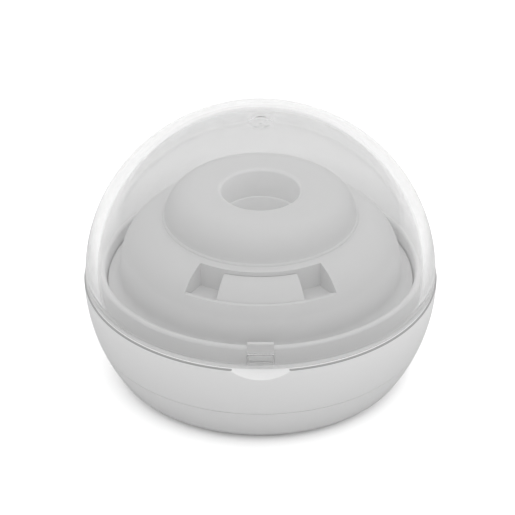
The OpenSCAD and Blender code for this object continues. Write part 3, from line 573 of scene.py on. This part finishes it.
def clear_dome():
    """The thick clear lid, with its hinge lug, the catch's pocket and the magnet's bore."""
    foot = LID_FOOT_Z
    outer = gate_marks(dome_outline(0, foot + LID_EDGE_ROUND))
    inner = dome_outline(LID_WALL, foot + LID_EDGE_ROUND)
    out_r, in_r = outer[0][0], inner[0][0]
    out_edge = corner((out_r, foot), outer[0], (in_r, foot), LID_EDGE_ROUND)
    in_edge = corner((in_r, foot), (out_r, foot), inner[0], LID_EDGE_ROUND)
    outline = outer[::-1][:-1] + out_edge + in_edge + inner[1:]
    dome = turned("clear_dome", outline)

    lug = block("lug", (-LUG_HALF, LID_R - LUG_BITE, foot), (LUG_HALF, HINGE_BACK, HINGE_Z + KNUCKLE_R))
    join(lug, rod("knuckle", KNUCKLE_R, (-LUG_HALF, HINGE_BACK, HINGE_Z),
                  (LUG_HALF, HINGE_BACK, HINGE_Z)))
    bevelled(lug, EDGE_ROUND)
    join(dome, lug)
    cut(dome, rod("pin_bore", PIN_R + PIN_GAP, (-LUG_HALF - 1, HINGE_BACK, HINGE_Z),
                  (LUG_HALF + 1, HINGE_BACK, HINGE_Z)))
    for side in (-1, 1):
        middle = side * (EAR_IN + EAR_OUT) / 2
        half = (EAR_OUT - EAR_IN) / 2 + EAR_GAP
        cut(dome, rod("ear_relief", KNUCKLE_R + KNUCKLE_GAP, (middle - half, HINGE_BACK, HINGE_Z),
                      (middle + half, HINGE_BACK, HINGE_Z)))
    pocket = block("pocket", (-POCKET_W / 2, -LID_IN_R - POCKET_DEEP, POCKET_Z),
                   (POCKET_W / 2, -COLLAR_R, POCKET_Z + POCKET_H))
    cut(dome, bevelled(pocket, EDGE_ROUND, 3))
    magnet_lo, magnet_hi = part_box("lid_magnet")
    centre = ((magnet_lo + magnet_hi) / 2 - AXIS) / MM
    cut(dome, rod("magnet_bore", MAGNET_BORE_R, (centre.x, centre.y, foot - 1),
                  (centre.x, centre.y, magnet_hi.z / MM)))
    return stands_for(dome, "lid_dome", "lid", "clear_lid")


# ---------------------------------------------------------------- the base
def scoop_ball(name):
    """The ball that scoops the thumb's dip out of the rim, as wide and deep as the named sizes."""
    sag_r = ((SCOOP_W / 2) ** 2 + SCOOP_H ** 2) / (2 * SCOOP_H)
    reach = (sag_r ** 2 - (sag_r - SCOOP_H) ** 2) / 2
    radius = 1 / (SCOOP_DEEP / reach - 1 / BALL_R)
    deep = sag_r ** 2 / 2 * SCOOP_DEEP / reach
    tilt = math.asin((RIM_Z - SCOOP_H + sag_r - BALL_Z) / BALL_R)
    out = BALL_R + radius - deep
    return ball(name, radius, (0, -out * math.cos(tilt), BALL_Z + out * math.sin(tilt)), 192)


def base_bowl():
    """The white upper bowl, with the rim, the two hinge ears and the thumb's scoop."""
    def side(inset, z):
        return math.degrees(math.asin((z - BALL_Z) / (BALL_R - inset)))

    outer = arc((0, BALL_Z), BALL_R, side(0, SEAM_Z + SEAM_CHAMFER_H), side(0, RIM_Z - EDGE_ROUND), 0.8)
    inner = arc((0, BALL_Z), BALL_R - BOWL_WALL, side(BOWL_WALL, SHELF_Z - SHELF_T),
                side(BOWL_WALL, SEAM_Z), 1.5)
    top = corner((outer[-1][0], RIM_Z), outer[-1], (BALL_R - RIM_W, RIM_Z), EDGE_ROUND)
    lip = corner((BALL_R - RIM_W, RIM_Z), outer[-1], (BALL_R - RIM_W, SHELF_Z), EDGE_ROUND)
    shelf_r = COLLAR_OUT_R + SHELF_GAP
    shelf = [(BALL_R - RIM_W, SHELF_Z), (shelf_r, SHELF_Z), (shelf_r, SHELF_Z - SHELF_T)]
    foot = (outer[0][0] - SEAM_CHAMFER_W, SEAM_Z)
    outline = outer + top + lip + shelf + inner + [foot, outer[0]]
    bowl = turned("base_bowl", outline)
    for side_of in (-1, 1):
        near, wide = side_of * EAR_IN, side_of * EAR_OUT
        low, high = min(near, wide), max(near, wide)
        ear = rod("ear", KNUCKLE_R, (low, HINGE_BACK, HINGE_Z), (high, HINGE_BACK, HINGE_Z))
        root = ear_root(low, high)
        join(ear, root)
        bevelled(ear, EDGE_ROUND)
        join(bowl, ear)
    cut(bowl, rod("pin_bore", PIN_R, (-EAR_OUT - 1, HINGE_BACK, HINGE_Z),
                  (EAR_OUT + 1, HINGE_BACK, HINGE_Z)))
    cut(bowl, rod("relief", KNUCKLE_R + KNUCKLE_GAP, (-EAR_IN, HINGE_BACK, HINGE_Z),
                  (EAR_IN, HINGE_BACK, HINGE_Z)))
    cut(bowl, scoop_ball("scoop"))
    return stands_for(bowl, "base_shell", "base", "white_shell")


def ear_root(low, high):
    """The wedge under a hinge ear that runs down into the bowl's wall."""
    foot = RIM_Z - EAR_ROOT_H
    root = block("ear_root", (low, BALL_R - BOWL_WALL, foot), (high, HINGE_BACK + KNUCKLE_R, HINGE_Z))
    take(root)
    bpy.ops.object.mode_set(mode="EDIT")
    bpy.ops.mesh.select_all(action="DESELECT")
    bpy.ops.object.mode_set(mode="OBJECT")
    for v in root.data.vertices:
        v.select = v.co.z < (foot + 1) * MM and v.co.y > AXIS.y + BALL_R * MM
    bpy.ops.object.mode_set(mode="EDIT")
    bpy.ops.transform.translate(value=(0, -(EAR_ROOT_BITE + HINGE_BACK - BALL_R + KNUCKLE_R) * MM, 0))
    bpy.ops.object.mode_set(mode="OBJECT")
    return root


# ---------------------------------------------------------------- the seat
def pedestal_outline(inset, foot_z):
    """The pedestal's outline as a filled solid, this far inside its surface."""
    centre = (PEDESTAL_R - SHOULDER_R, PEDESTAL_Z - SHOULDER_R)
    top = math.degrees(math.acos((LAND_R - centre[0] + LAND_EDGE) / SHOULDER_R))
    shoulder = arc(centre, SHOULDER_R - inset, 0, top, 2)
    land = [(LAND_R - inset, PEDESTAL_Z - inset), (0, PEDESTAL_Z - inset)]
    return [(0, foot_z), (PEDESTAL_R - inset, foot_z)] + shoulder + land


def flared_foot():
    """The hollow foot that flares out from the pedestal's side and fills the trough."""
    hollow = arc((PEDESTAL_R + FLARE_ROUND, FLARE_Z + FLARE_ROUND), FLARE_ROUND, 180, 270, 5)
    edge = corner((FLARE_R, FLARE_Z), hollow[-1], (FLARE_R, TROUGH_Z), FLARE_EDGE)
    under = [(FLARE_R, TROUGH_Z), (FLARE_R - WALL, TROUGH_Z), (FLARE_R - WALL, FLARE_Z - WALL),
             (PEDESTAL_R, FLARE_Z - WALL), (PEDESTAL_R, TROUGH_Z), (PEDESTAL_R - FLARE_BITE, TROUGH_Z),
             (PEDESTAL_R - FLARE_BITE, hollow[0][1])]
    return turned("flared_foot", hollow + edge + under + hollow[:1])


def shoulder_wedge(name, half, r_in, z_low, steps=48):
    """A wedge of the front shoulder from a radius and a height outwards and up past the pedestal."""
    outline = [(r_in, z_low), (BEYOND_R, z_low), (BEYOND_R, BEYOND_Z), (r_in, BEYOND_Z)]
    return sector(name, half, outline, steps)


def pedestal():
    """The hollow lower tier, with its flared foot and the button's recess, which has a low lip."""
    body = turned("stepped_seat", pedestal_outline(0, TROUGH_Z))
    cavity = turned("cavity", pedestal_outline(WALL, TROUGH_Z - 1))
    kept = shoulder_wedge("kept_wall", RECESS_HALF + KEPT_WALL_DEG, RECESS_R - WALL, RECESS_Z - WALL)
    cut(cavity, kept)
    cut(body, cavity)
    join(body, flared_foot())
    below = turned("below_the_lip", pedestal_outline(RECESS_LIP, TROUGH_Z))
    combine(below, shoulder_wedge("low_recess", RECESS_HALF, RECESS_R, RECESS_Z), "INTERSECT")
    recess = join(shoulder_wedge("recess", RECESS_HALF, RECESS_R, RECESS_LIP_Z), below)
    cut(body, recess)
    cut(body, rod("crown_hole", SPIGOT_R + SPIGOT_GAP, (0, 0, RECESS_Z), (0, 0, PEDESTAL_Z + 1),
                  TURN_STEPS))
    return stands_for(body, "pedestal", "base", "white_inner")


def start_button():
    """The wide key that follows the shoulder's curve, with the stem that presses the switch."""
    low = RECESS_Z + BUTTON_TRAVEL + BUTTON_GAP
    button = turned("front_button", pedestal_outline(BUTTON_INSET, TROUGH_Z))
    combine(button, shoulder_wedge("button_wedge", BUTTON_HALF, RECESS_R + BUTTON_GAP, low), "INTERSECT")
    stem_at = -RECESS_R - STEM_OUT
    stem = rod("stem", STEM_R, (0, stem_at, RECESS_Z - STEM_DOWN), (0, stem_at, low + STEM_BITE))
    join(button, stem)
    bevelled(button, BUTTON_ROUND, 3)
    return stands_for(button, "start_button", "button", "white_inner")


def seat_crown():
    """The upper tier: a rounded cap with a bead at its foot, a spigot below and the throat."""
    edge = (CROWN_R - CROWN_EDGE_R, CROWN_Z - CROWN_EDGE_R)
    lip = (THROAT_R + LIP_R, CROWN_Z - LIP_R)
    bead = arc((CROWN_R, PEDESTAL_Z), BEAD_R, 0, 75, 15)
    outer = arc(edge, CROWN_EDGE_R, 8, 90, 2) + arc(lip, LIP_R, 90, 180, 9)
    under = [(THROAT_R, CUP_RIM_Z), (THROAT_R + WALL, CUP_RIM_Z), (THROAT_R + WALL, CROWN_Z - WALL)]
    inside = arc(edge, CROWN_EDGE_R - WALL, 90, 12, 4)
    spigot_in, spigot_z = SPIGOT_R - SPIGOT_WALL, PEDESTAL_Z - SPIGOT_H
    spigot = [(inside[-1][0], PEDESTAL_Z + WALL), (spigot_in, PEDESTAL_Z + WALL), (spigot_in, spigot_z),
              (SPIGOT_R, spigot_z), (SPIGOT_R, PEDESTAL_Z)]
    crown = turned("seat_crown_shell", bead + outer + under + inside + spigot + bead[:1])
    # The crown takes the copy of the inner white that has light painted on its throat.
    return stands_for(crown, "seat_crown", "base", "white_inner", "white_crown")


def glossy_cup():
    """The deep cup with a window seat in its floor and a skirt that stands on the main board."""
    lean = (CUP_RIM_R - CUP_FLOOR_R) / (CUP_RIM_Z - CUP_FLOOR_Z)
    low = CUP_FLOOR_Z - CUP_WALL
    window_lo, window_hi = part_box("uv_window")
    window_r = (window_hi.x - window_lo.x) / 2 / MM
    board_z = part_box("main_board")[1].z / MM
    ledge = (window_r - WINDOW_SEAT, CUP_FLOOR_Z)
    flange_z = CUP_RIM_Z - CUP_FLANGE_T
    bowl = corner((CUP_FLOOR_R, CUP_FLOOR_Z), (CUP_RIM_R, CUP_RIM_Z), ledge, CUP_FLOOR_ROUND, 8)
    rim = corner((CUP_RIM_R, CUP_RIM_Z), (CUP_FLANGE_R, CUP_RIM_Z), (CUP_FLOOR_R, CUP_FLOOR_Z), 0.5, 5)
    edge = corner((CUP_FLANGE_R, CUP_RIM_Z), (CUP_FLANGE_R, flange_z), (CUP_RIM_R, CUP_RIM_Z), 0.2, 3)
    side = [(CUP_RIM_R + CUP_WALL - CUP_FLANGE_T * lean, flange_z),
            (CUP_FLOOR_R + CUP_WALL, CUP_FLOOR_Z + 1)]
    skirt = [(window_r + SKIRT_OUT, low), (window_r + SKIRT_OUT, board_z),
             (window_r + SKIRT_IN, board_z), (window_r + SKIRT_IN, low)]
    seat = [(window_r + WINDOW_GAP, low), (window_r + WINDOW_GAP, low + WINDOW_SEAT),
            (window_r - WINDOW_SEAT, low + WINDOW_SEAT)]
    outline = [ledge] + bowl[::-1] + rim[::-1] + edge[::-1] + [(CUP_FLANGE_R, flange_z)]
    outline += side + skirt + seat + [ledge]
    cup = turned("glossy_cup", outline)
    return stands_for(cup, "reflector_cup", "base", "gloss_cup")


# ---------------------------------------------------------------- the studio
VIEW_ELEVATION = 32
VIEW_DISTANCE = 1.65
LENS_MM = 370
SENSOR_MM = 36
IMAGE_PX = 515
BALL_PX = (260.5, 270.2)


def direction(azimuth, elevation):
    """Where a camera stands: azimuth 0 is the front, 90 the right, and elevation is up."""
    a, e = math.radians(azimuth), math.radians(elevation)
    return Vector((math.sin(a) * math.cos(e), -math.cos(a) * math.cos(e), math.sin(e)))


def make_camera():
    """A long lens from the front and above, aimed so that the ball's middle lands where the photo
    has it."""
    back = direction(0, VIEW_ELEVATION)
    turn = (-back).to_track_quat("-Z", "Y")
    pixel = SENSOR_MM / LENS_MM * VIEW_DISTANCE / IMAGE_PX
    right, up = turn @ Vector((1, 0, 0)), turn @ Vector((0, 1, 0))
    middle = IMAGE_PX / 2
    aim = place(0, BALL_Z) + right * (middle - BALL_PX[0]) * pixel - up * (middle - BALL_PX[1]) * pixel
    lens = bpy.data.cameras.new("camera")
    lens.lens, lens.sensor_width = LENS_MM, SENSOR_MM
    camera = bpy.data.objects.new("camera", lens)
    bpy.context.scene.collection.objects.link(camera)
    camera.location = aim + back * VIEW_DISTANCE
    camera.rotation_mode = "QUATERNION"
    camera.rotation_quaternion = turn
    bpy.context.scene.camera = camera


LEVEL_LIGHT = 0.68
LIGHT_TOWARDS = (0.1, 0, 0.42)
SEEN_THROUGH = 0.92
FLOOR_LIT = 0.58
# Painted shadow: the floor's tone near the case for glosses and clear walls, fading out between the two
# distances in metres of FLOOR_SHADOW_FADE.
FLOOR_SHADOW_TONE = 0.65
FLOOR_FAR = 1.2
FLOOR_SHADOW_FADE = (0.06, 0.15)
FLOOR_SHOWN = 1.5


def light_room():
    """A tent of soft light, brighter overhead and on the right, which the camera and a gloss see as
    white and a clear wall as nearly white."""
    world = bpy.data.worlds.new("studio")
    bpy.context.scene.world = world
    world.use_nodes = True
    tree = world.node_tree
    ambient = tree.nodes["Background"]
    ambient.inputs["Color"].default_value = (1, 1, 1, 1)
    way = add_node(tree, "ShaderNodeTexCoord").outputs["Generated"]
    lean = add_node(tree, "ShaderNodeVectorMath", {0: way, 1: LIGHT_TOWARDS}, operation="DOT_PRODUCT")
    level = add_node(tree, "ShaderNodeMath", {0: lean.outputs["Value"], 1: LEVEL_LIGHT}, operation="ADD")
    tree.links.new(level.outputs[0], ambient.inputs["Strength"])
    seen = add_node(tree, "ShaderNodeBackground", {"Color": (1, 1, 1, 1), "Strength": 1})
    rays = add_node(tree, "ShaderNodeLightPath").outputs
    looked = either(tree, rays["Is Camera Ray"], rays["Is Glossy Ray"], rays["Is Transmission Ray"])
    shade = ranged(tree, rays["Is Transmission Ray"], 1, SEEN_THROUGH, 0, 1)
    tree.links.new(shade, seen.inputs["Strength"])
    mixed = add_node(tree, "ShaderNodeMixShader", {0: looked, 1: ambient.outputs[0], 2: seen.outputs[0]})
    tree.links.new(mixed.outputs[0], tree.nodes["World Output"].inputs["Surface"])


def lay_floor():
    """A white floor that keeps the case's shadow. Clear walls and glosses see a painted shadow on it,
    darker near the case, and it throws less light back than the camera sees in it."""
    free_hands()
    bpy.ops.mesh.primitive_plane_add(size=12, location=(0, 0, 0))
    floor = bpy.context.object
    floor.name = "floor"
    made, tree, bsdf = material("studio_floor")
    bsdf.inputs["Roughness"].default_value = 1
    bsdf.inputs["Specular IOR Level"].default_value = 0
    rays = add_node(tree, "ShaderNodeLightPath").outputs
    mirrored = either(tree, rays["Is Glossy Ray"], rays["Is Transmission Ray"])
    where = add_node(tree, "ShaderNodeTexCoord").outputs["Object"]
    away = add_node(tree, "ShaderNodeVectorMath", {0: where}, operation="LENGTH").outputs["Value"]
    # Painted shadow: glosses and clear walls see the floor darker near the case.
    near = tinted(tree, ranged(tree, away, 0, 1, *FLOOR_SHADOW_FADE), grey(FLOOR_SHADOW_TONE), grey(FLOOR_FAR))
    lit = tinted(tree, mirrored, grey(FLOOR_LIT), grey(1))
    tree.links.new(near, lit.node.inputs["B"])
    shown = tinted(tree, rays["Is Camera Ray"], grey(0), grey(FLOOR_SHOWN))
    tree.links.new(lit, shown.node.inputs["A"])
    tree.links.new(shown, bsdf.inputs["Base Color"])
    floor.data.materials.append(made)


dress_cad_nodes()
clear_dome()
base_bowl()
pedestal()
start_button()
seat_crown()
glossy_cup()

make_camera()
lay_floor()
light_room()
bpy.context.scene.view_settings.view_transform = "Standard"
